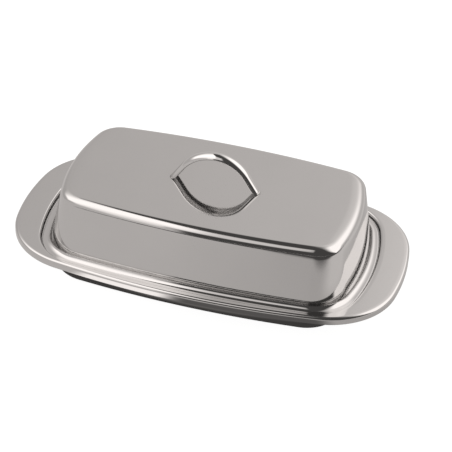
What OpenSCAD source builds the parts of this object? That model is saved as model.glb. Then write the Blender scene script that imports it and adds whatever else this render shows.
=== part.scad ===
// Butter dish: a drawn tray, a lid that lifts straight off, and a strap handle welded to the lid.
// +X runs along the dish, +Y across it, +Z up. The origin is under the middle of the tray,
// on the plane that the dish stands on.

/* [Sheet] */
// Thickness of the sheet that all three pieces are pressed from
sheet = 0.8; // [0.6:0.1:0.9]

/* [Tray] */
// Length over the two wings
tray_len = 200; // [196:1:212]
// Width across the middle
tray_wid = 112; // [112:1:118]
// Radius of the bowed long sides of the rim
tray_side_r = 430; // [420:10:520]
// Radius of the bowed ends of the rim
tray_end_r = 120; // [110:5:140]
// Radius of the rim's corners
tray_corner_r = 38; // [32:1:42]
// Height of the rim above the table
tray_h = 16; // [13:0.5:20]
// Depth of the turned-down skirt
skirt_h = 4; // [3:0.5:5]
// Depth of the recess that locates the lid
recess_h = 3; // [2.6:0.1:4]
// Clearance all round between the lid's flange and the recess wall
recess_gap = 0.9; // [0.5:0.1:1]

/* [Lid] */
// Length over the flange
lid_len = 168.4; // [165:0.2:169]
// Width over the flange
lid_wid = 102; // [99:0.5:102]
// Radius of the flange's bowed long sides
lid_side_r = 531; // [480:1:600]
// Radius of the flange's bowed ends
lid_end_r = 120; // [110:1:130]
// Radius of the flange's corners
lid_corner_r = 24; // [22:1:30]
// Height from the flange's underside to the top
lid_h = 31.6; // [26:0.2:40]
// Width of the flange, from its edge to the foot of the wall
flange_w = 4.2; // [4:0.1:5]
// How much shorter the lid is at its top than at the foot of its wall
top_shorter = 11.4; // [8:0.2:14]
// How much narrower the lid is at its top than at the foot of its wall
top_narrower = 12.6; // [8:0.2:16]
// Radius of the top edge
top_edge_r = 4.5; // [2.5:0.5:5]

/* [Handle] */
// Distance between the strap's two feet, measured on its hollow side
handle_span = 40.8; // [38:0.2:48]
// Height of the strap's hollow side above the lid
handle_rise = 15.8; // [14:0.2:18]
// Slope of the strap's straight legs, in degrees
leg_slope = 56; // [50:1:58]
// Width of the strap
strap_w = 6.8; // [6:0.2:10]
// Depth of the strap's half-round channel
strap_h = 2.5; // [1.6:0.1:2.6]

/* [Hidden] */

// Steps along each side bow, end bow and corner of an outline, and round each bend of the sheet
side_steps = 12;
end_steps = 6;
corner_steps = 8;
bend_steps = 4;
// Steps along the handle's arc, and across each side of the strap
arch_steps = 32;
section_steps = 12;

// Rim: outer radius of the edge over the skirt, and of the edge that drops into the recess
rim_edge_r = 1.5;
recess_edge_r = 1;
// Recess: radius of the fillet at its foot
recess_foot_r = 0.8;
// Well: how far inside the flange's edge its mouth lies, how much shorter than that it is over
// its ends, lean of its wall from upright, and radii of its mouth's edge and its floor's fillet
well_inset = 4.6;
well_shorter = 5;
well_lean = 3;
well_edge_r = 1.6;
well_floor_r = 3;
// Flange: radius of the fillet at the foot of the lid's wall
flange_foot_r = 2.8;
// How far the strap's feet are sunk into the lid by the welds
weld_sink = 0.3;

ledge_z = tray_h - recess_h;
flange_z = ledge_z + sheet;
lid_top_z = ledge_z + lid_h;

// A dish outline is a bowed rectangle with rounded corners:
// [half length, half width, side bow radius, end bow radius, corner radius]
rim_outline = [tray_len / 2, tray_wid / 2, tray_side_r, tray_end_r, tray_corner_r];
flange_outline = [lid_len / 2, lid_wid / 2, lid_side_r, lid_end_r, lid_corner_r];
mouth_outline = grown(flange_outline, -well_inset) - [well_shorter / 2, 0, 0, 0, 0];
foot_outline = grown(flange_outline, -flange_w);
top_inset = (top_shorter + top_narrower) / 4;
top_outline = grown(foot_outline, -top_inset)
    - [top_shorter / 2 - top_inset, top_narrower / 2 - top_inset, 0, 0, 0];
wall_lean = atan2(top_inset, lid_top_z - flange_z);

// The same outline moved outward by d, parallel to itself
function grown(o, d) = [for (v = o) v + d];

// Centres of the side bow at +Y and of the end bow at +X
function side_centre(o) = [0, o[1] - o[2]];
function end_centre(o) = [o[0] - o[3], 0];

// Centre of the corner in the first quarter, whose arc touches both bows
function corner_centre(o) =
    let (
        s = side_centre(o),
        e = end_centre(o),
        gap = norm(e - s),
        from_side = o[2] - o[4],
        from_end = o[3] - o[4],
        along = (from_side * from_side - from_end * from_end + gap * gap) / (2 * gap),
        across = sqrt(from_side * from_side - along * along),
        u = (e - s) / gap
    )
    s + along * u + across * [u[1], -u[0]];

function reversed(list) = [for (i = [len(list) - 1:-1:0]) list[i]];

// Direction of a vector in the plane, in degrees from +X
function heading(v) = atan2(v[1], v[0]);

// Points of an arc, without its last one
function arc(centre, r, from, to, steps) =
    [for (i = [0:steps - 1]) let (a = from + (to - from) * i / steps) centre + r * [cos(a), sin(a)]];

// Half of an outline: the end bow at +X, a corner, the side bow at +Y and a corner
function half_loop(o) =
    let (
        c = corner_centre(o),
        a_end = heading(c - end_centre(o)),
        a_side = heading(c - side_centre(o))
    )
    concat(
        arc(end_centre(o), o[3], -a_end, a_end, end_steps),
        arc(c, o[4], a_end, a_side, corner_steps),
        arc(side_centre(o), o[2], a_side, 180 - a_side, side_steps),
        arc([-c[0], c[1]], o[4], 180 - a_side, 180 - a_end, corner_steps)
    );

// A ring is an outline at a height: its points, all the way round
function ring(o, z) =
    let (half = half_loop(o))
    concat([for (p = half) [p[0], p[1], z]], [for (p = half) [-p[0], -p[1], z]]);

// Rings round a bend of the sheet, about a centre given as [distance outward from o, height]
function bend_rings(o, centre, r, from, to) =
    [for (i = [0:bend_steps])
        let (a = from + (to - from) * i / bend_steps)
        ring(grown(o, centre[0] + r * cos(a)), centre[1] + r * sin(a))];

// A closed solid through a list of rings. cap lists the faces that close the first ring, as
// places in the ring, and the last ring is closed the same way.
module lofted(rings, cap) {
    n = len(rings[0]);
    last = len(rings) - 1;
    polyhedron(
        points = [for (r = rings) each r],
        faces = concat(
            [for (face = cap) reversed(face)],
            [for (k = [0:last - 1], i = [0:n - 1])
                let (j = (i + 1) % n)
                [k * n + i, k * n + j, (k + 1) * n + j, (k + 1) * n + i]],
            [for (face = cap) [for (i = face) last * n + i]]
        )
    );
}

// A pressing: its upper face's rings, then its under face's rings in reverse
module pressed(upper, under) {
    lofted(concat(upper, reversed(under)), [[for (i = [0:len(upper[0]) - 1]) i]]);
}

// Distance from a corner, where a level run meets a run that leans back from upright,
// to the centre of the bend that rounds it
function bend_shift(r, lean) = r * (1 - sin(lean)) / cos(lean);

// One face of the tray, from the floor out to the skirt's lower edge. depth is 0 for the
// upper face and the sheet's thickness for the under face.
function tray_face(depth) =
    let (
        well_draw = (ledge_z - sheet) * tan(well_lean),
        floor_c = [-well_draw - bend_shift(well_floor_r, well_lean), sheet + well_floor_r],
        mouth_c = [bend_shift(well_edge_r, well_lean), ledge_z - well_edge_r],
        foot_c = [recess_gap - recess_foot_r, ledge_z + recess_foot_r],
        edge_c = [recess_gap + recess_edge_r, tray_h - recess_edge_r],
        rim_c = [-rim_edge_r, tray_h - rim_edge_r]
    )
    concat(
        bend_rings(mouth_outline, floor_c, well_floor_r + depth, -90, -well_lean),
        bend_rings(mouth_outline, mouth_c, well_edge_r - depth, 180 - well_lean, 90),
        bend_rings(flange_outline, foot_c, recess_foot_r + depth, -90, 0),
        bend_rings(flange_outline, edge_c, recess_edge_r - depth, 180, 90),
        bend_rings(rim_outline, rim_c, rim_edge_r - depth, 90, 0),
        [ring(grown(rim_outline, -depth), tray_h - skirt_h)]
    );

// One face of the lid, from the top down and out to the flange's edge. depth is 0 for the
// outer face and the sheet's thickness for the inner face.
function lid_face(depth) =
    let (
        top_c = [-bend_shift(top_edge_r, wall_lean), lid_top_z - top_edge_r],
        foot_c = [bend_shift(flange_foot_r, wall_lean), flange_z + flange_foot_r]
    )
    concat(
        bend_rings(top_outline, top_c, top_edge_r - depth, 90, wall_lean),
        bend_rings(foot_outline, foot_c, flange_foot_r + depth, 180 + wall_lean, 270),
        [ring(flange_outline, flange_z - depth)]
    );

// The tray: well, recess with its ledge, wings and turned-down rim
module tray() {
    color("silver") pressed(tray_face(0), tray_face(sheet));
}

// The lid: top, wall and flange
module lid() {
    color("gainsboro") pressed(lid_face(0), lid_face(sheet));
}

// Section of the strap, as [distance outward from its hollow side, distance across]: along its
// crown from lip to lip, then back along its hollow
function strap_section() =
    let (
        crown_r = (pow(strap_w / 2, 2) + pow(strap_h, 2)) / (2 * strap_h),
        centre = [strap_h - crown_r, 0],
        crown = acos(-centre[0] / crown_r),
        hollow = acos(-centre[0] / (crown_r - sheet))
    )
    concat(
        arc(centre, crown_r, -crown, crown, section_steps),
        [centre + crown_r * [cos(crown), sin(crown)]],
        arc(centre, crown_r - sheet, hollow, -hollow, section_steps),
        [centre + (crown_r - sheet) * [cos(hollow), -sin(hollow)]]
    );

// The handle: a strap bent over the lid, hollow side down. The middle is an arc, and its two
// straight legs leave the arc tangentially and are cut off level at their welds.
module handle() {
    leg_length = handle_rise * sin(leg_slope) / (1 - cos(leg_slope)) - handle_span / 2;
    arch_r = (handle_span / 2 - leg_length * cos(leg_slope)) / sin(leg_slope);
    section = strap_section();
    n = len(section);
    hoops = [for (k = [0:arch_steps])
        let (a = 90 + leg_slope * (1 - 2 * k / arch_steps), hub = handle_rise - arch_r)
        [for (p = section)
            [(arch_r + p[0]) * cos(a), p[1], hub + (arch_r + p[0]) * sin(a)]]];
    feet = [for (side = [-1, 1])
        [for (p = side < 0 ? hoops[0] : hoops[arch_steps])
            [p[0] + side * (p[2] + weld_sink) / tan(leg_slope), p[1], -weld_sink]]];
    color("lightgray")
        translate([0, 0, lid_top_z])
            lofted(
                concat([feet[0]], hoops, [feet[1]]),
                [for (i = [0:n / 2 - 2]) [i, i + 1, n - 2 - i, n - 1 - i]]
            );
}

tray();
lid();
handle();
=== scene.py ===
"""Butter dish: a drawn steel tray, a lid that lifts off and its strap handle, in a pale studio.

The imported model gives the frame: the tray and the lid take their place and overall size from
their CAD boxes, and the handle stands on the lid. Each is built again as a finer mesh with rounded
edges. Lengths are in millimetres until a mesh is written, and the scene is in metres.
"""

import math

import bpy
import numpy as np
from mathutils import Matrix, Vector


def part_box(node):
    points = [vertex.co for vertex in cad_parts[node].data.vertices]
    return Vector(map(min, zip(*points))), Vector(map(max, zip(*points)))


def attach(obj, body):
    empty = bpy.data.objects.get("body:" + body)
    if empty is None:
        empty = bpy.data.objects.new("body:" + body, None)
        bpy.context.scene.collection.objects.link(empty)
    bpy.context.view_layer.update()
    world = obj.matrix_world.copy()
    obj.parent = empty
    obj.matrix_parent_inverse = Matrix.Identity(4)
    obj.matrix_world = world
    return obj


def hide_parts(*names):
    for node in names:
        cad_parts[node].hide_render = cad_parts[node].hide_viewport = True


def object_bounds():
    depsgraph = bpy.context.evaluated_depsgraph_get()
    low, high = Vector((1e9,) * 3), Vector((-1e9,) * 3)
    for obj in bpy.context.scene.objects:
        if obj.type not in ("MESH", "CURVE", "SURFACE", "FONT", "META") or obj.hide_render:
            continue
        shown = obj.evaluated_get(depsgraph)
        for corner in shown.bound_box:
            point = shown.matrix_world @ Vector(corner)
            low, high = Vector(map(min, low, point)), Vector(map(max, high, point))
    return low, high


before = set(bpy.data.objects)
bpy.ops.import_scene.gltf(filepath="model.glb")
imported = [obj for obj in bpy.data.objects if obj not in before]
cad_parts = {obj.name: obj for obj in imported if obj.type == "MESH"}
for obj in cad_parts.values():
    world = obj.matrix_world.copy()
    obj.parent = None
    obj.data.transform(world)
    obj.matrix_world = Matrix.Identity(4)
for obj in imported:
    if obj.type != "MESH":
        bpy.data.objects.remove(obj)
cad_low, cad_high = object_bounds()

MM = 0.001

# Sheet
SHEET = 0.8
CUT_EDGE_R = 0.22

# Outlines: radii of the bowed sides, the bowed ends and the corners
RIM_RADII = (430.0, 120.0, 38.0)
FLANGE_RADII = (531.0, 120.0, 24.0)

# Tray
SKIRT_H = 4.0
RECESS_H = 3.0
RECESS_GAP = 0.9
RIM_EDGE_R = 1.5
RECESS_EDGE_R = 1.0
RECESS_FOOT_R = 0.8
WELL_INSET = 4.6
WELL_SHORTER = 5.0
WELL_LEAN = math.radians(3.0)
WELL_EDGE_R = 1.6
WELL_FLOOR_R = 3.0

# Lid
FLANGE_W = 4.2
FLANGE_FOOT_R = 2.8
TOP_SHORTER = 11.4
TOP_NARROWER = 12.6
TOP_EDGE_R = 4.5
DOME_LENGTH = 5.0
DOME_TILT = math.radians(2.2)
DOME_STEPS = 6

# Handle
HANDLE_SPAN = 40.8
HANDLE_RISE = 15.8
LEG_SLOPE = math.radians(56.0)
STRAP_W = 6.8
STRAP_H = 2.5
WELD_SINK = 0.3
TOE_LENGTH = 3.6
TOE_WIDTH = 0.62

# Mesh density: steps along each bow and corner of an outline, round a bend, round a cut edge,
# across and along the strap, round its lips, and over the straight runs of the tray and the lid
SIDE_STEPS = 64
END_STEPS = 32
CORNER_STEPS = 24
BEND_STEPS = 10
CUT_STEPS = 3
STRAP_STEPS = 28
ARCH_STEPS = 96
LEG_STEPS = 16
LIP_STEPS = 4
TRAY_RUN_STEPS = (6, 5, 3, 8, 3)
LID_RUN_STEPS = (16, 3)

# Camera: direction from the dish, roll, distance, lens and sensor in millimetres, and aim
CAMERA_AZIMUTH = math.radians(13.68)
CAMERA_ELEVATION = math.radians(35.61)
CAMERA_ROLL = math.radians(3.58)
CAMERA_DISTANCE = 0.8084
CAMERA_LENS = 127.1
SENSOR_WIDTH = 36.0
CAMERA_AIM = Vector((0.00663, 0.00107, 0.0200))


# Outlines -----------------------------------------------------------------------------------

class Outline:
    """A bowed rectangle with rounded corners, centred on the origin."""

    def __init__(self, half_x, half_y, side_r, end_r, corner_r):
        self.sizes = np.array([half_x, half_y, side_r, end_r, corner_r], float)

    def grown(self, distance):
        """The same outline moved outward, parallel to itself."""
        return Outline(*(self.sizes + distance))

    def shortened(self, along, across):
        """The outline moved inward by a different distance at its ends and at its sides."""
        mean = (along + across) / 2
        half_x, half_y, side_r, end_r, corner_r = self.sizes
        return Outline(half_x - along, half_y - across, side_r - mean, end_r - mean, corner_r - mean)

    def cut_short(self, along):
        """The outline with its two ends moved inward."""
        half_x, half_y, side_r, end_r, corner_r = self.sizes
        return Outline(half_x - along, half_y, side_r, end_r, corner_r)

    def corner_centre(self):
        """Centre of the first quarter's corner, whose arc touches both bows."""
        half_x, half_y, side_r, end_r, corner_r = self.sizes
        side = np.array([0.0, half_y - side_r])
        end = np.array([half_x - end_r, 0.0])
        gap = np.linalg.norm(end - side)
        from_side = side_r - corner_r
        from_end = end_r - corner_r
        along = (from_side ** 2 - from_end ** 2 + gap ** 2) / (2 * gap)
        across = math.sqrt(from_side ** 2 - along ** 2)
        unit = (end - side) / gap
        return side + along * unit + across * np.array([unit[1], -unit[0]])

    def points(self):
        """Points all the way round, anticlockwise from the lower end of the +X bow."""
        half_x, half_y, side_r, end_r, corner_r = self.sizes
        side = np.array([0.0, half_y - side_r])
        end = np.array([half_x - end_r, 0.0])
        corner = self.corner_centre()
        other = corner * [-1.0, 1.0]
        a_end = heading(corner - end)
        a_side = heading(corner - side)
        half = np.vstack([
            arc(end, end_r, -a_end, a_end, END_STEPS),
            arc(corner, corner_r, a_end, a_side, CORNER_STEPS),
            arc(side, side_r, a_side, math.pi - a_side, SIDE_STEPS),
            arc(other, corner_r, math.pi - a_side, math.pi - a_end, CORNER_STEPS),
        ])
        return np.vstack([half, -half])


def heading(vector):
    return math.atan2(vector[1], vector[0])


def arc(centre, radius, start, stop, steps):
    """Points of an arc, without its last one."""
    angles = np.linspace(start, stop, steps, endpoint=False)
    return centre + radius * np.column_stack([np.cos(angles), np.sin(angles)])


# Pressed sheet --------------------------------------------------------------------------------

def ring(outline, z):
    """An outline's points at a height."""
    flat = outline.points()
    return np.column_stack([flat, np.full(len(flat), z)])


def bend(outline, out, z, radius, start, stop, steps=BEND_STEPS):
    """Rings round a bend, about a centre that lies out from the outline at height z."""
    angles = np.radians(np.linspace(start, stop, steps + 1))
    return [ring(outline.grown(out + radius * math.cos(a)), z + radius * math.sin(a)) for a in angles]


def run(inner, outer, steps):
    """Rings between two rings, without the two themselves."""
    shares = np.linspace(0, 1, steps + 1)[1:-1]
    return [inner + (outer - inner) * share for share in shares]


def joined(groups, run_steps):
    """One list of rings: the groups of rings in turn, with a straight run between each two."""
    rings = list(groups[0])
    for group, steps in zip(groups[1:], run_steps):
        rings += run(rings[-1], group[0], steps)
        rings += group
    return rings


def patch(loop):
    """An even grid of points inside a closed loop, and the loop's places along the grid's border.

    The loop is cut at the middle of its four corners, and the grid blends its four stretches.
    """
    count_y = END_STEPS + CORNER_STEPS
    count_x = SIDE_STEPS + CORNER_STEPS
    first = END_STEPS + CORNER_STEPS // 2
    turned = (np.arange(len(loop)) + first) % len(loop)
    far = turned[:count_x + 1]
    left = turned[count_x:count_x + count_y + 1]
    near = turned[count_x + count_y:2 * count_x + count_y + 1]
    right = np.append(turned[2 * count_x + count_y:], turned[0])
    top, bottom = loop[far][::-1], loop[near]
    west, east = loop[left][::-1], loop[right]
    u = np.linspace(0, 1, count_x + 1)[:, None, None]
    v = np.linspace(0, 1, count_y + 1)[None, :, None]
    across = (1 - v) * bottom[:, None] + v * top[:, None]
    along = (1 - u) * west[None] + u * east[None]
    square = (
        (1 - u) * (1 - v) * bottom[0]
        + u * (1 - v) * bottom[-1]
        + (1 - u) * v * top[0]
        + u * v * top[-1]
    )
    border = {}
    for i in range(count_x + 1):
        border[(i, 0)] = near[i]
        border[(i, count_y)] = far[count_x - i]
    for j in range(count_y + 1):
        border[(0, j)] = left[count_y - j]
        border[(count_x, j)] = right[j]
    return across + along - square, border


def capped_sheet(rings):
    """Points and faces of a closed sheet: rings from the flat of its upper face, over its cut
    edge and back to the flat of its under face, with a grid over each flat."""
    count = len(rings[0])
    points = [np.vstack(rings)]
    faces = []
    for k in range(len(rings) - 1):
        for i in range(count):
            j = (i + 1) % count
            faces.append((k * count + i, (k + 1) * count + i, (k + 1) * count + j, k * count + j))
    total = len(rings) * count
    for base, loop, upward in ((0, rings[0], True), ((len(rings) - 1) * count, rings[-1], False)):
        grid, border = patch(loop)
        across, up = grid.shape[:2]
        place = {}
        inner = []
        for i in range(across):
            for j in range(up):
                if (i, j) in border:
                    place[(i, j)] = base + int(border[(i, j)])
                else:
                    place[(i, j)] = total + len(inner)
                    inner.append(grid[i, j])
        points.append(np.array(inner))
        total += len(inner)
        for i in range(across - 1):
            for j in range(up - 1):
                quad = (place[(i, j)], place[(i + 1, j)], place[(i + 1, j + 1)], place[(i, j + 1)])
                faces.append(quad if upward else quad[::-1])
    return np.vstack(points), faces


def bend_shift(radius, lean):
    """From a corner between a level run and a leaning one to the centre of its bend."""
    return radius * (1 - math.sin(lean)) / math.cos(lean)


def mesh_object(name, points, faces, material, body):
    """A smooth shaded mesh object from points in millimetres, riding on a body."""
    mesh = bpy.data.meshes.new(name)
    mesh.from_pydata((points * MM).tolist(), [], faces)
    mesh.validate()
    mesh.shade_smooth()
    mesh.materials.append(material)
    piece = bpy.data.objects.new(name, mesh)
    bpy.context.scene.collection.objects.link(piece)
    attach(piece, body)
    return piece


# Sizes read from the frame --------------------------------------------------------------------

tray_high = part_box("tray")[1] / MM
lid_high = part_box("lid")[1] / MM

TRAY_TOP = tray_high.z
LEDGE_Z = TRAY_TOP - RECESS_H
FLANGE_Z = LEDGE_Z + SHEET
LID_TOP = lid_high.z
RIM = Outline(tray_high.x, tray_high.y, *RIM_RADII)
FLANGE = Outline(lid_high.x, lid_high.y, *FLANGE_RADII)
MOUTH = FLANGE.grown(-WELL_INSET).cut_short(WELL_SHORTER / 2)
FOOT = FLANGE.grown(-FLANGE_W)
TOP = FOOT.shortened(TOP_SHORTER / 2, TOP_NARROWER / 2)
TOP_INSET = (TOP_SHORTER + TOP_NARROWER) / 4
WALL_LEAN = math.atan2(TOP_INSET, LID_TOP - FLANGE_Z)


# Tray -----------------------------------------------------------------------------------------

def tray_face(depth):
    """Rings of one face of the tray, from its floor out to the skirt."""
    draw = (LEDGE_Z - SHEET) * math.tan(WELL_LEAN)
    lean = math.degrees(WELL_LEAN)
    floor_out = -draw - bend_shift(WELL_FLOOR_R, WELL_LEAN)
    mouth_out = bend_shift(WELL_EDGE_R, WELL_LEAN)
    skirt_z = TRAY_TOP - SKIRT_H + CUT_EDGE_R
    return joined(
        [
            bend(MOUTH, floor_out, SHEET + WELL_FLOOR_R, WELL_FLOOR_R + depth, -90, -lean),
            bend(MOUTH, mouth_out, LEDGE_Z - WELL_EDGE_R, WELL_EDGE_R - depth, 180 - lean, 90),
            bend(FLANGE, RECESS_GAP - RECESS_FOOT_R, LEDGE_Z + RECESS_FOOT_R,
                 RECESS_FOOT_R + depth, -90, 0),
            bend(FLANGE, RECESS_GAP + RECESS_EDGE_R, TRAY_TOP - RECESS_EDGE_R,
                 RECESS_EDGE_R - depth, 180, 90),
            bend(RIM, -RIM_EDGE_R, TRAY_TOP - RIM_EDGE_R, RIM_EDGE_R - depth, 90, 0),
            [ring(RIM.grown(-depth), skirt_z)],
        ],
        TRAY_RUN_STEPS,
    )


def build_tray(material):
    upper = tray_face(0)
    under = tray_face(SHEET)
    lip_z = TRAY_TOP - SKIRT_H + CUT_EDGE_R
    lip = (
        bend(RIM, -CUT_EDGE_R, lip_z, CUT_EDGE_R, 0, -90, CUT_STEPS)[1:]
        + bend(RIM, CUT_EDGE_R - SHEET, lip_z, CUT_EDGE_R, 270, 180, CUT_STEPS)[:-1]
    )
    points, faces = capped_sheet(upper + lip + under[::-1])
    piece = mesh_object("tray_pressing", points, faces, material, "base")
    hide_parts("tray")
    return piece


# Lid ------------------------------------------------------------------------------------------

def top_bend(depth):
    """Rings over the lid's top edge. Toward the ends the top first falls away very slightly,
    so the bend has a soft beginning there and a crisp one along the sides."""
    flat = TOP.points()
    outward = TOP.grown(1).points() - flat
    tilt = DOME_TILT * outward[:, 0] ** 2
    radius = TOP_EDGE_R - depth
    out = -bend_shift(TOP_EDGE_R, WALL_LEAN)
    lead = DOME_LENGTH + radius * np.sin(tilt)
    fall = lead * np.tan(tilt) / 2
    rings = []
    for share in np.linspace(0, 1, DOME_STEPS, endpoint=False):
        along = out - DOME_LENGTH + lead * share
        rings.append(moved(flat, outward, along, LID_TOP - depth - fall * share ** 2))
    for share in np.linspace(0, 1, BEND_STEPS + 1):
        angle = (math.pi / 2 - tilt) * (1 - share) + WALL_LEAN * share
        height = LID_TOP - TOP_EDGE_R - fall + radius * np.sin(angle)
        height += radius * (1 - np.cos(tilt)) * (1 - share)
        rings.append(moved(flat, outward, out + radius * np.cos(angle), height))
    return rings


def moved(flat, outward, distance, height):
    """A ring whose points each lie their own distance outward, at their own height."""
    spread = flat + outward * np.reshape(distance, (-1, 1))
    return np.column_stack([spread, height])


def lid_face(depth):
    """Rings of one face of the lid, from its top down and out to the flange's cut edge."""
    lean = math.degrees(WALL_LEAN)
    foot_out = bend_shift(FLANGE_FOOT_R, WALL_LEAN)
    return joined(
        [
            top_bend(depth),
            bend(FOOT, foot_out, FLANGE_Z + FLANGE_FOOT_R, FLANGE_FOOT_R + depth, 180 + lean, 270),
            [ring(FLANGE.grown(-CUT_EDGE_R), FLANGE_Z - depth)],
        ],
        LID_RUN_STEPS,
    )


def build_lid(material):
    upper = lid_face(0)
    under = lid_face(SHEET)
    edge = (
        bend(FLANGE, -CUT_EDGE_R, FLANGE_Z - CUT_EDGE_R, CUT_EDGE_R, 90, 0, CUT_STEPS)[1:]
        + bend(FLANGE, -CUT_EDGE_R, LEDGE_Z + CUT_EDGE_R, CUT_EDGE_R, 0, -90, CUT_STEPS)[:-1]
    )
    points, faces = capped_sheet(upper + edge + under[::-1])
    piece = mesh_object("lid_pressing", points, faces, material, "cover")
    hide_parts("lid")
    return piece


# Handle ---------------------------------------------------------------------------------------

def strap_section(width):
    """Section of the strap at a share of its full width, as [distance outward from its hollow
    side, distance across]."""
    crown_r = ((STRAP_W / 2) ** 2 + STRAP_H ** 2) / (2 * STRAP_H)
    centre = STRAP_H - crown_r
    hollow_r = crown_r - SHEET
    lip_r = SHEET / 2
    mid_r = crown_r - lip_r
    crown = math.acos((lip_r - centre) / mid_r) * width
    turns = np.linspace(-crown, crown, STRAP_STEPS + 1)
    outer = np.column_stack([centre + crown_r * np.cos(turns), crown_r * np.sin(turns)])
    inner = np.column_stack([centre + hollow_r * np.cos(turns), hollow_r * np.sin(turns)])[::-1]
    lips = []
    for side in (1, -1):
        middle = np.array([centre + mid_r * math.cos(crown), side * mid_r * math.sin(crown)])
        start = side * crown
        swing = start + side * np.linspace(0, math.pi, LIP_STEPS + 2)[1:-1]
        lips.append(middle + lip_r * np.column_stack([np.cos(swing), np.sin(swing)]))
    lips[1] = lips[1][::-1]
    return np.vstack([outer, lips[0], inner, lips[1]])


def handle_path():
    """Stations along the strap's hollow side: place in x and z, outward angle and distance from
    the weld, measured down its leg."""
    leg = HANDLE_RISE * math.sin(LEG_SLOPE) / (1 - math.cos(LEG_SLOPE)) - HANDLE_SPAN / 2
    arch_r = (HANDLE_SPAN / 2 - leg * math.cos(LEG_SLOPE)) / math.sin(LEG_SLOPE)
    hub_z = HANDLE_RISE - arch_r
    leg += WELD_SINK / math.sin(LEG_SLOPE)
    stations = []
    for share in np.linspace(1, 0, LEG_STEPS, endpoint=False):
        stations.append((-1, leg * share, math.pi / 2 + LEG_SLOPE))
    for angle in np.linspace(math.pi / 2 + LEG_SLOPE, math.pi / 2 - LEG_SLOPE, ARCH_STEPS + 1):
        stations.append((0, 0.0, angle))
    for share in np.linspace(0, 1, LEG_STEPS + 1)[1:]:
        stations.append((1, leg * share, math.pi / 2 - LEG_SLOPE))
    path = []
    for side, down, angle in stations:
        x = arch_r * math.cos(angle) + side * down * math.cos(LEG_SLOPE)
        z = hub_z + arch_r * math.sin(angle) - down * math.sin(LEG_SLOPE)
        from_end = leg - down if side else leg
        path.append((x, z, angle, from_end))
    return path


def toe_width(from_end):
    """Share of the strap's full width, which narrows to a rounded toe at each weld."""
    if from_end >= TOE_LENGTH:
        return 1.0
    share = 1 - from_end / TOE_LENGTH
    return TOE_WIDTH + (1 - TOE_WIDTH) * math.sqrt(1 - share * share)


def build_handle(material):
    """The strap, swept along its path, with both ends cut off level where they are welded."""
    hoops = []
    for x, z, angle, from_end in handle_path():
        section = strap_section(toe_width(from_end))
        out_x, out_z = math.cos(angle), math.sin(angle)
        hoops.append(np.column_stack([
            x + section[:, 0] * out_x,
            section[:, 1],
            z + section[:, 0] * out_z,
        ]))
    count = len(hoops[0])
    for end in (0, -1):
        hoop = hoops[end]
        side = 1 if end else -1
        drop = hoop[:, 2] + WELD_SINK
        hoop[:, 0] += side * drop / math.tan(LEG_SLOPE)
        hoop[:, 2] = -WELD_SINK
    faces = []
    for k in range(len(hoops) - 1):
        for i in range(count):
            j = (i + 1) % count
            faces.append((k * count + i, (k + 1) * count + i, (k + 1) * count + j, k * count + j))
    last = (len(hoops) - 1) * count
    faces += strap_caps(count, last)
    points = np.vstack(hoops) + [0, 0, LID_TOP]
    piece = mesh_object("strap_handle", points, faces, material, "cover")
    first = STRAP_STEPS + 1 + LIP_STEPS
    hollow = [float(first <= i % count <= first + STRAP_STEPS) for i in range(len(points))]
    piece.data.attributes.new(HOLLOW_SIDE, "FLOAT", "POINT").data.foreach_set("value", hollow)
    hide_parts("handle")
    return piece


def strap_caps(count, last):
    """Quads that close the strap's two ends, between its crown and its hollow and, with an even
    number of lip steps, across its two lips."""
    crown = list(range(STRAP_STEPS + 1))
    hollow = list(range(STRAP_STEPS + 1 + LIP_STEPS, 2 * STRAP_STEPS + 2 + LIP_STEPS))[::-1]
    quads = []
    for i in range(STRAP_STEPS):
        quads.append((crown[i], crown[i + 1], hollow[i + 1], hollow[i]))
    far = STRAP_STEPS + 1
    near = 2 * STRAP_STEPS + 2 + LIP_STEPS
    for outer, first, inner in ((crown[-1], far, hollow[-1]), (hollow[0], near, crown[0])):
        loop = [outer] + [first + n for n in range(LIP_STEPS)] + [inner]
        for n in range(LIP_STEPS // 2):
            quads.append((loop[n], loop[n + 1], loop[-2 - n], loop[-1 - n]))
    return quads + [tuple(last + i for i in quad[::-1]) for quad in quads]


# Materials ------------------------------------------------------------------------------------

# Tone, roughness and strength of grain of the two steels
SATIN_TONE = (0.656, 0.650, 0.645)
SATIN_POLISH = 0.045
SATIN_GRAIN = 1.0
BRIGHT_TONE = (0.715, 0.710, 0.705)
BRIGHT_POLISH = 0.035
BRIGHT_GRAIN = 0.5

# Steel: how often each pattern repeats in a metre, along the piece, across it and in height
GRAIN_SCALE = (60.0, 2600.0, 2600.0)
SCRATCH_SCALE = (70.0, 240.0, 240.0)
SCRATCH_PATCH_SCALE = 90.0
SMUDGE_SCALE = 38.0
RIPPLE_SCALE = 21.0

# Steel: detail and roughness of each pattern's noise
GRAIN_NOISE = (3.0, 0.6)
SCRATCH_NOISE = (1.0, 0.5)
SMUDGE_NOISE = (4.0, 0.55)
RIPPLE_NOISE = (1.0, 0.4)

# Steel: the noise values between which each pattern goes from least to most, and half the width
# of a scratch, which is a line along a middling noise value
GRAIN_SPAN = (0.3, 0.7)
SMUDGE_SPAN = (0.35, 0.7)
SCRATCH_PATCH_SPAN = (0.50, 0.65)
SCRATCH_HALF_WIDTH = 0.006

# Steel: strength of each pattern's relief and its depth in metres
GRAIN_RELIEF = (0.03, 0.0001)
SCRATCH_RELIEF = (0.05, 0.00005)
RIPPLE_RELIEF = (0.04, 0.001)

# Steel: what the grain, the smudges and the scratches do to its roughness and tone
GRAIN_ROUGHNESS = 0.01
SMUDGE_ROUGHNESS = 1.3
SCRATCH_ROUGHNESS = 0.08
SMUDGE_TONE = 0.985

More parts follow.
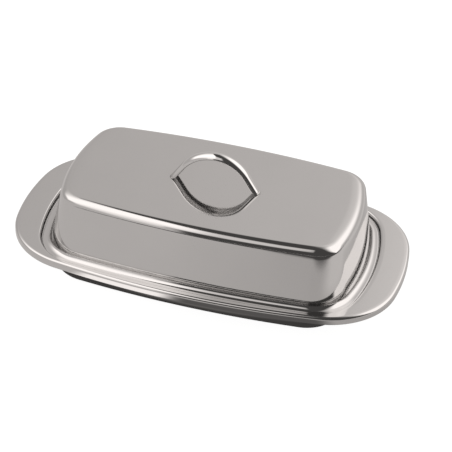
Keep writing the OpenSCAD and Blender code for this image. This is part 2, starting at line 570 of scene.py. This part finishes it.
# Painted shade in creases, where the steel is also rougher: how far a crease is felt, its share
# of open sky where it is deepest and where it begins, the samples that feel it, and how rough and
# how dark it looks
CREASE_REACH = 0.0025
CREASE_SKY = (0.30, 0.85)
CREASE_SAMPLES = 6
DULL_ROUGHNESS = 0.17
CREASE_SHADE_TONE = 0.62

# The mesh attribute that marks the strap's hollow side, and how strongly painted shade and
# roughness lie on that side
HOLLOW_SIDE = "hollow_side"
HOLLOW_SHADE = 1.5


class Graph:
    """Short calls for building a node tree."""

    def __init__(self, tree):
        self.tree = tree
        tree.nodes.clear()

    def add(self, kind, inputs=None, **settings):
        """A node, with its settings, and inputs given as values or as other nodes' sockets."""
        node = self.tree.nodes.new(kind)
        for name, value in settings.items():
            setattr(node, name, value)
        for name, value in (inputs or {}).items():
            self.feed(node.inputs[name], value)
        return node

    def feed(self, socket, value):
        if isinstance(value, bpy.types.NodeSocket):
            self.tree.links.new(value, socket)
        else:
            socket.default_value = value

    def math(self, operation, *values):
        node = self.add("ShaderNodeMath", operation=operation)
        for socket, value in zip(node.inputs, values):
            self.feed(socket, value)
        return node.outputs[0]

    def span(self, value, low, high, to_low, to_high, smooth=False):
        """value remapped from one range to another, held at the ends."""
        node = self.add("ShaderNodeMapRange", clamp=True)
        node.interpolation_type = "SMOOTHSTEP" if smooth else "LINEAR"
        for socket, item in zip(node.inputs, (value, low, high, to_low, to_high)):
            self.feed(socket, item)
        return node.outputs[0]

    def ramp(self, value, corners):
        """A broken line through (place, level) corners, level beyond its ends."""
        level = corners[0][1]
        for (low, before), (high, after) in zip(corners, corners[1:]):
            level = self.math("ADD", level, self.span(value, low, high, 0.0, after - before))
        return level

    def noise(self, vector, scale, detail=2.0, roughness=0.5):
        node = self.add("ShaderNodeTexNoise", {"Vector": vector, "Scale": scale, "Detail": detail,
                                               "Roughness": roughness})
        return node.outputs["Fac"]

    def stretched(self, vector, scale):
        node = self.add("ShaderNodeMapping", {"Vector": vector, "Scale": scale})
        return node.outputs["Vector"]

    def relief(self, height, strength, depth, under=None, sunken=False):
        """The surface's direction with a pattern's relief, laid over another direction."""
        node = self.add("ShaderNodeBump", {"Strength": strength, "Distance": depth,
                                           "Height": height}, invert=sunken)
        if under:
            self.feed(node.inputs["Normal"], under)
        return node.outputs["Normal"]


def steel(name, tone, polish, grain):
    """Stainless steel: fine grain along the piece, uneven polish, smudges, hairline scratches,
    slight waviness, and painted shade with rougher metal in creases and on the strap's hollow side."""
    material = bpy.data.materials.new(name)
    material.use_nodes = True
    graph = Graph(material.node_tree)
    place = graph.add("ShaderNodeTexCoord").outputs["Object"]
    grain_wave = graph.noise(graph.stretched(place, GRAIN_SCALE), 1.0, *GRAIN_NOISE)
    smudge = graph.noise(place, SMUDGE_SCALE, *SMUDGE_NOISE)
    ripple = graph.noise(place, RIPPLE_SCALE, *RIPPLE_NOISE)
    cloud = graph.span(smudge, *SMUDGE_SPAN, 0.0, 1.0, True)
    scratch = hairlines(graph, place)
    crease_shade = shaded_creases(graph)

    swing = GRAIN_ROUGHNESS * grain
    rough = graph.span(cloud, 0.0, 1.0, polish, polish * SMUDGE_ROUGHNESS)
    rough = graph.math("ADD", rough, graph.span(grain_wave, *GRAIN_SPAN, -swing, swing))
    rough = graph.math("MULTIPLY_ADD", scratch, SCRATCH_ROUGHNESS, rough)
    rough = graph.math("MULTIPLY_ADD", crease_shade, DULL_ROUGHNESS, rough)
    grain_strength, grain_depth = GRAIN_RELIEF
    fine = graph.relief(grain_wave, grain_strength * grain, grain_depth)
    worn = graph.relief(scratch, *SCRATCH_RELIEF, under=fine, sunken=True)
    soft = graph.relief(ripple, *RIPPLE_RELIEF, under=worn)
    colour = graph.add("ShaderNodeMix", {"Factor": cloud}, data_type="RGBA")
    colour.inputs[6].default_value = (*tone, 1.0)
    colour.inputs[7].default_value = (*(shade * SMUDGE_TONE for shade in tone), 1.0)
    # Painted shade: the tone darkens in creases and on the strap's hollow side
    darkened = graph.add("ShaderNodeMix", {"Factor": crease_shade}, data_type="RGBA")
    graph.feed(darkened.inputs[6], colour.outputs[2])
    darkened.inputs[7].default_value = (*(shade * CREASE_SHADE_TONE for shade in tone), 1.0)
    shader = graph.add("ShaderNodeBsdfPrincipled", {
        "Base Color": darkened.outputs[2],
        "Metallic": 1.0,
        "Roughness": rough,
        "Normal": soft,
    })
    output = graph.add("ShaderNodeOutputMaterial")
    graph.feed(output.inputs["Surface"], shader.outputs[0])
    return material


def shaded_creases(graph):
    """Painted shade with rougher steel: 1 in narrow creases, more on the strap's hollow side, and 0
    on open sheet."""
    open_sky = graph.add("ShaderNodeAmbientOcclusion", {"Distance": CREASE_REACH},
                         samples=CREASE_SAMPLES)
    crease = graph.span(open_sky.outputs["AO"], *CREASE_SKY, 1.0, 0.0)
    hollow = graph.add("ShaderNodeAttribute", attribute_name=HOLLOW_SIDE).outputs["Fac"]
    return graph.math("MAXIMUM", crease, graph.math("MULTIPLY", hollow, HOLLOW_SHADE))


def hairlines(graph, place):
    """1 along thin wandering scratches from wiping, in patches, and 0 between them."""
    wander = graph.noise(graph.stretched(place, SCRATCH_SCALE), 1.0, *SCRATCH_NOISE)
    middle = graph.math("ABSOLUTE", graph.math("SUBTRACT", wander, 0.5))
    line = graph.span(middle, 0.0, SCRATCH_HALF_WIDTH, 1.0, 0.0, True)
    cloud = graph.noise(place, SCRATCH_PATCH_SCALE)
    patches = graph.span(cloud, *SCRATCH_PATCH_SPAN, 0.0, 1.0, True)
    return graph.math("MULTIPLY", line, patches)


# Studio ---------------------------------------------------------------------------------------

# Brightness of the parts of the room, as the steel mirrors them
WALL_LEFT = 0.555
WALL_RIGHT = 0.67
FAR_LEFT = 0.50
WHITE_CARD = 1.45
CARD_FAR = 0.61
STRIP_LIGHT = 1.50
STRIP_LOW = 0.62
STRIP_TAIL = 0.80
FRONT_WALL = 0.60
BLACK_SIDE = 0.07
FLOOR_GREY = 0.60
FLOOR_RIGHT = 0.49
FLOOR_END = 0.68
# Painted on the floor for the steel to mirror: a patch of light, a dark patch and the shade under the
# dish
FLOOR_PAINTED_LIGHT = 1.30
FLOOR_PAINTED_DARK = 0.12
FLOOR_SHADE = 0.06

# Where the parts of the room change, as [from, to]: a direction's part to the right, or its
# sweep angle in degrees
WALL_SHADING = (-0.35, -0.05)
FAR_LEFT_FADE = (-0.75, -0.50)
WALL_TOP = (42.0, 57.0)
BLACK_BEGINS = (-0.325, -0.280)
FRONT_RISES = (138.0, 150.0)
FRONT_ENDS = (-0.26, -0.22)
STRIP_FADES = (118.0, 174.0)
STRIP_DIMS = (-0.250, -0.150)
STRIP_REACH = (-0.90, 0.040)
CARD_FOOT = (14.0, 36.0)
CARD_INWARD = (-0.11, 0.30)

# The strip light's edges: (part to the right, sweep angle) corners
STRIP_START = ((-0.33, 62.0), (-0.20, 100.0), (-0.05, 108.0))
STRIP_START_SOFTNESS = ((-0.34, 27.0), (-0.29, 6.0))
STRIP_STOP = ((-0.30, 205.0), (-0.27, 143.0), (-0.20, 143.0), (0.00, 138.0))
STRIP_LEFT_STOP = ((-0.85, 121.0), (-0.46, 141.0), (-0.36, 165.0))

# How softly it fades: at its sides, as a part to the right, and at its two stops, as an angle
STRIP_SIDE_SOFTNESS = 0.060
STRIP_STOP_SOFTNESS = 6.0
STRIP_LEFT_STOP_SOFTNESS = 14.0

# The white card's upper edge: its sweep angle straight ahead, its rise to the right and how
# softly it fades, and the power by which the card brightens inward
CARD_TOP = 60.0
CARD_RISE = 60.0
CARD_TOP_SOFTNESS = 14.0
CARD_POWER = 0.7

# Where the floor that the steel mirrors changes, in metres to the right or to the back
FLOOR_SHADING = (-0.06, 0.08)
END_RIGHT = (0.10, 0.15)
END_BACK = (-0.14, -0.06)
BLACK_RIGHT_FRONT = (0.27, 0.34)
PAINTED_PATCHES_BACK = (-0.078, -0.052)
PAINTED_LIGHT_RIGHT = (-0.062, -0.010)
PAINTED_DARK_RIGHT = (-0.010, 0.078)
SHADE_BACK = (-0.052, 0.052)

# The same floor: softness of its edges in metres, and the share of the dish's length in shade
BACK_SOFTNESS = 0.004
PAINTED_LIGHT_SOFTNESS = 0.006
PAINTED_DARK_SOFTNESS = 0.010
SHADE_SOFTNESS = 0.010
SHADE_REACH = 0.8

# The floor that the camera sees: half its width in metres, and its paper's grey and glow
FLOOR_HALF = 3.0
PAPER_GREY = (0.2, 0.2, 0.2, 1.0)
PAPER_GLOW = 0.96

# Warmth of everything that the steel mirrors
WARM = (1.045, 0.995, 0.970, 1.0)


def fading(graph, past, soft):
    """1 before an edge and 0 past it, softly."""
    return graph.span(past, -soft, soft, 1.0, 0.0, True)


def window(graph, value, low, high, soft):
    """1 where a value lies between two limits, 0 outside, with soft edges."""
    rising = graph.span(value, low - soft, low + soft, 0.0, 1.0, True)
    falling = graph.span(value, high - soft, high + soft, 1.0, 0.0, True)
    return graph.math("MULTIPLY", rising, falling)


def blend(graph, level, brightness, *masks):
    """A level with a brightness laid over it where all the masks are 1."""
    mask = masks[0]
    for other in masks[1:]:
        mask = graph.math("MULTIPLY", mask, other)
    change = graph.math("SUBTRACT", brightness, level)
    return graph.math("MULTIPLY_ADD", mask, change, level)


def seen_by_camera(graph, mirrored, plain):
    """One brightness for the camera and another for everything that the steel mirrors."""
    rays = graph.add("ShaderNodeLightPath")
    choice = graph.add("ShaderNodeMix", {"Factor": rays.outputs["Is Camera Ray"]},
                       data_type="FLOAT")
    graph.feed(choice.inputs[2], mirrored)
    graph.feed(choice.inputs[3], plain)
    return choice.outputs[0]


def build_world():
    """The room round the dish, plain and very nearly white to the camera.

    The steel mirrors a grey wall behind, black above it, a long strip light overhead on the left,
    a white card behind on the right and a dark front right. A direction is placed by how far it
    points to the right and by its sweep angle in degrees, from the horizon behind, over the top,
    to the horizon in front.
    """
    world = bpy.data.worlds.new("studio")
    bpy.context.scene.world = world
    world.use_nodes = True
    graph = Graph(world.node_tree)
    direction = graph.add("ShaderNodeTexCoord").outputs["Generated"]
    parts = graph.add("ShaderNodeSeparateXYZ", {"Vector": direction})
    right, back, up = parts.outputs
    turn = graph.math("ARCTAN2", up, back)
    sweep = graph.math("MULTIPLY", turn, math.degrees(1.0))

    level = back_wall(graph, right)
    level = black_edge(graph, level, right, sweep)
    level = strip_light(graph, level, right, sweep)
    level = white_card(graph, level, right, sweep)

    shown = seen_by_camera(graph, level, 1.0)
    background = graph.add("ShaderNodeBackground", {"Color": WARM, "Strength": shown})
    output = graph.add("ShaderNodeOutputWorld")
    graph.feed(output.inputs["Surface"], background.outputs[0])


def back_wall(graph, right):
    """The grey wall, a little dimmer far to the left."""
    level = graph.span(right, *WALL_SHADING, WALL_LEFT, WALL_RIGHT)
    return blend(graph, level, FAR_LEFT, graph.span(right, *FAR_LEFT_FADE, 1.0, 0.0, True))


def black_edge(graph, level, right, sweep):
    """Black past the top of the grey wall, over and down to the front, except on the far left, and
    grey low in front on the left."""
    past_wall = graph.span(sweep, *WALL_TOP, 0.0, 1.0, True)
    on_right = graph.span(right, *BLACK_BEGINS, 0.0, 1.0, True)
    level = blend(graph, level, BLACK_SIDE, past_wall, on_right)
    low_front = graph.span(sweep, *FRONT_RISES, 0.0, 1.0, True)
    on_left = graph.span(right, *FRONT_ENDS, 1.0, 0.0, True)
    return blend(graph, level, FRONT_WALL, low_front, on_left)


def strip_light(graph, level, right, sweep):
    """The strip light overhead: on the left it fades slowly down to the front, and toward the
    right it starts later, is dimmer and ends short of the front."""
    slow = graph.span(sweep, *STRIP_FADES, STRIP_LIGHT, STRIP_LOW)
    bright = blend(graph, slow, STRIP_TAIL, graph.span(right, *STRIP_DIMS, 0.0, 1.0, True))
    past_start = graph.math("SUBTRACT", sweep, graph.ramp(right, STRIP_START))
    past_start = graph.math("DIVIDE", past_start, graph.ramp(right, STRIP_START_SOFTNESS))
    past_stop = graph.math("SUBTRACT", sweep, graph.ramp(right, STRIP_STOP))
    past_left_stop = graph.math("SUBTRACT", sweep, graph.ramp(right, STRIP_LEFT_STOP))
    after = graph.span(past_start, -1.0, 1.0, 0.0, 1.0, True)
    until = fading(graph, past_stop, STRIP_STOP_SOFTNESS)
    left_until = fading(graph, past_left_stop, STRIP_LEFT_STOP_SOFTNESS)
    return blend(graph, level, bright, after, until, left_until,
                 window(graph, right, *STRIP_REACH, STRIP_SIDE_SOFTNESS))


def white_card(graph, level, right, sweep):
    """The white card behind on the right: it brightens inward from its left edge, its soft upper
    edge slants, and below it is grey wall."""
    past_top = graph.math("SUBTRACT", sweep, graph.math("MULTIPLY_ADD", right, CARD_RISE, CARD_TOP))
    below = fading(graph, past_top, CARD_TOP_SOFTNESS)
    above = graph.span(sweep, *CARD_FOOT, 0.0, 1.0, True)
    bright = blend(graph, CARD_FAR, WHITE_CARD, above)
    inward = graph.math("POWER", graph.span(right, *CARD_INWARD, 0.0, 1.0), CARD_POWER)
    return blend(graph, level, bright, below, inward)


def floor_material():
    """Pale paper to the camera. The steel mirrors it instead as painted light and shade: grey that is
    lighter beyond the right end and black far to the right front, a painted white patch of light and
    a painted black patch close in front of the dish, and painted shade beneath it."""
    material = bpy.data.materials.new("pale_floor")
    material.use_nodes = True
    graph = Graph(material.node_tree)
    place = graph.add("ShaderNodeTexCoord").outputs["Object"]
    parts = graph.add("ShaderNodeSeparateXYZ", {"Vector": place})
    right, back = parts.outputs[0], parts.outputs[1]
    near = window(graph, back, *PAINTED_PATCHES_BACK, BACK_SOFTNESS)

    level = graph.span(right, *FLOOR_SHADING, FLOOR_GREY, FLOOR_RIGHT)
    level = blend(graph, level, FLOOR_END, graph.span(right, *END_RIGHT, 0.0, 1.0, True),
                  graph.span(back, *END_BACK, 0.0, 1.0, True))
    front_right = graph.math("SUBTRACT", right, back)
    far = graph.span(front_right, *BLACK_RIGHT_FRONT, 0.0, 1.0, True)
    level = blend(graph, level, BLACK_SIDE, far)
    # Painted light and a painted dark patch close in front of the dish, then painted shade beneath it
    level = blend(graph, level, FLOOR_PAINTED_LIGHT, near,
                  window(graph, right, *PAINTED_LIGHT_RIGHT, PAINTED_LIGHT_SOFTNESS))
    level = blend(graph, level, FLOOR_PAINTED_DARK, near,
                  window(graph, right, *PAINTED_DARK_RIGHT, PAINTED_DARK_SOFTNESS))
    reach = SHADE_REACH * cad_high.x
    level = blend(graph, level, FLOOR_SHADE, window(graph, right, -reach, reach, SHADE_SOFTNESS),
                  window(graph, back, *SHADE_BACK, BACK_SOFTNESS))

    mirror = graph.add("ShaderNodeEmission", {"Color": WARM, "Strength": level})
    paper = graph.add("ShaderNodeBsdfDiffuse", {"Color": PAPER_GREY})
    glow = graph.add("ShaderNodeEmission", {"Strength": PAPER_GLOW})
    lit = graph.add("ShaderNodeAddShader")
    graph.feed(lit.inputs[0], paper.outputs[0])
    graph.feed(lit.inputs[1], glow.outputs[0])
    rays = graph.add("ShaderNodeLightPath")
    choice = graph.add("ShaderNodeMixShader", {"Fac": rays.outputs["Is Camera Ray"]})
    graph.feed(choice.inputs[1], mirror.outputs[0])
    graph.feed(choice.inputs[2], lit.outputs[0])
    output = graph.add("ShaderNodeOutputMaterial")
    graph.feed(output.inputs["Surface"], choice.outputs[0])
    return material


def build_floor():
    """A plain pale floor, wide enough to run out of every view."""
    mesh = bpy.data.meshes.new("floor")
    turns = ((-1, -1), (1, -1), (1, 1), (-1, 1))
    corners = [(x * FLOOR_HALF, y * FLOOR_HALF, 0) for x, y in turns]
    mesh.from_pydata(corners, [], [(0, 1, 2, 3)])
    mesh.materials.append(floor_material())
    floor = bpy.data.objects.new("floor", mesh)
    floor.location.z = cad_low.z
    bpy.context.scene.collection.objects.link(floor)


def build_camera():
    """The camera, at the dish's front right and above it, with a slight roll."""
    flat = math.cos(CAMERA_ELEVATION)
    back = Vector((
        math.sin(CAMERA_AZIMUTH) * flat,
        -math.cos(CAMERA_AZIMUTH) * flat,
        math.sin(CAMERA_ELEVATION),
    ))
    right = Vector((math.cos(CAMERA_AZIMUTH), math.sin(CAMERA_AZIMUTH), 0))
    up = back.cross(right)
    rolled_right = math.cos(CAMERA_ROLL) * right + math.sin(CAMERA_ROLL) * up
    rolled_up = math.cos(CAMERA_ROLL) * up - math.sin(CAMERA_ROLL) * right
    turn = Matrix((rolled_right, rolled_up, back)).transposed().to_4x4()
    data = bpy.data.cameras.new("camera")
    data.lens = CAMERA_LENS
    data.sensor_width = SENSOR_WIDTH
    data.clip_start = 0.01
    camera = bpy.data.objects.new("camera", data)
    bpy.context.scene.collection.objects.link(camera)
    camera.matrix_world = Matrix.Translation(CAMERA_AIM + CAMERA_DISTANCE * back) @ turn
    bpy.context.scene.camera = camera


# Scene ----------------------------------------------------------------------------------------

satin_steel = steel("satin_steel", SATIN_TONE, SATIN_POLISH, SATIN_GRAIN)
bright_steel = steel("bright_steel", BRIGHT_TONE, BRIGHT_POLISH, BRIGHT_GRAIN)
build_tray(satin_steel)
build_lid(satin_steel)
build_handle(bright_steel)
build_floor()
build_world()
build_camera()
bpy.context.scene.view_settings.view_transform = "Standard"
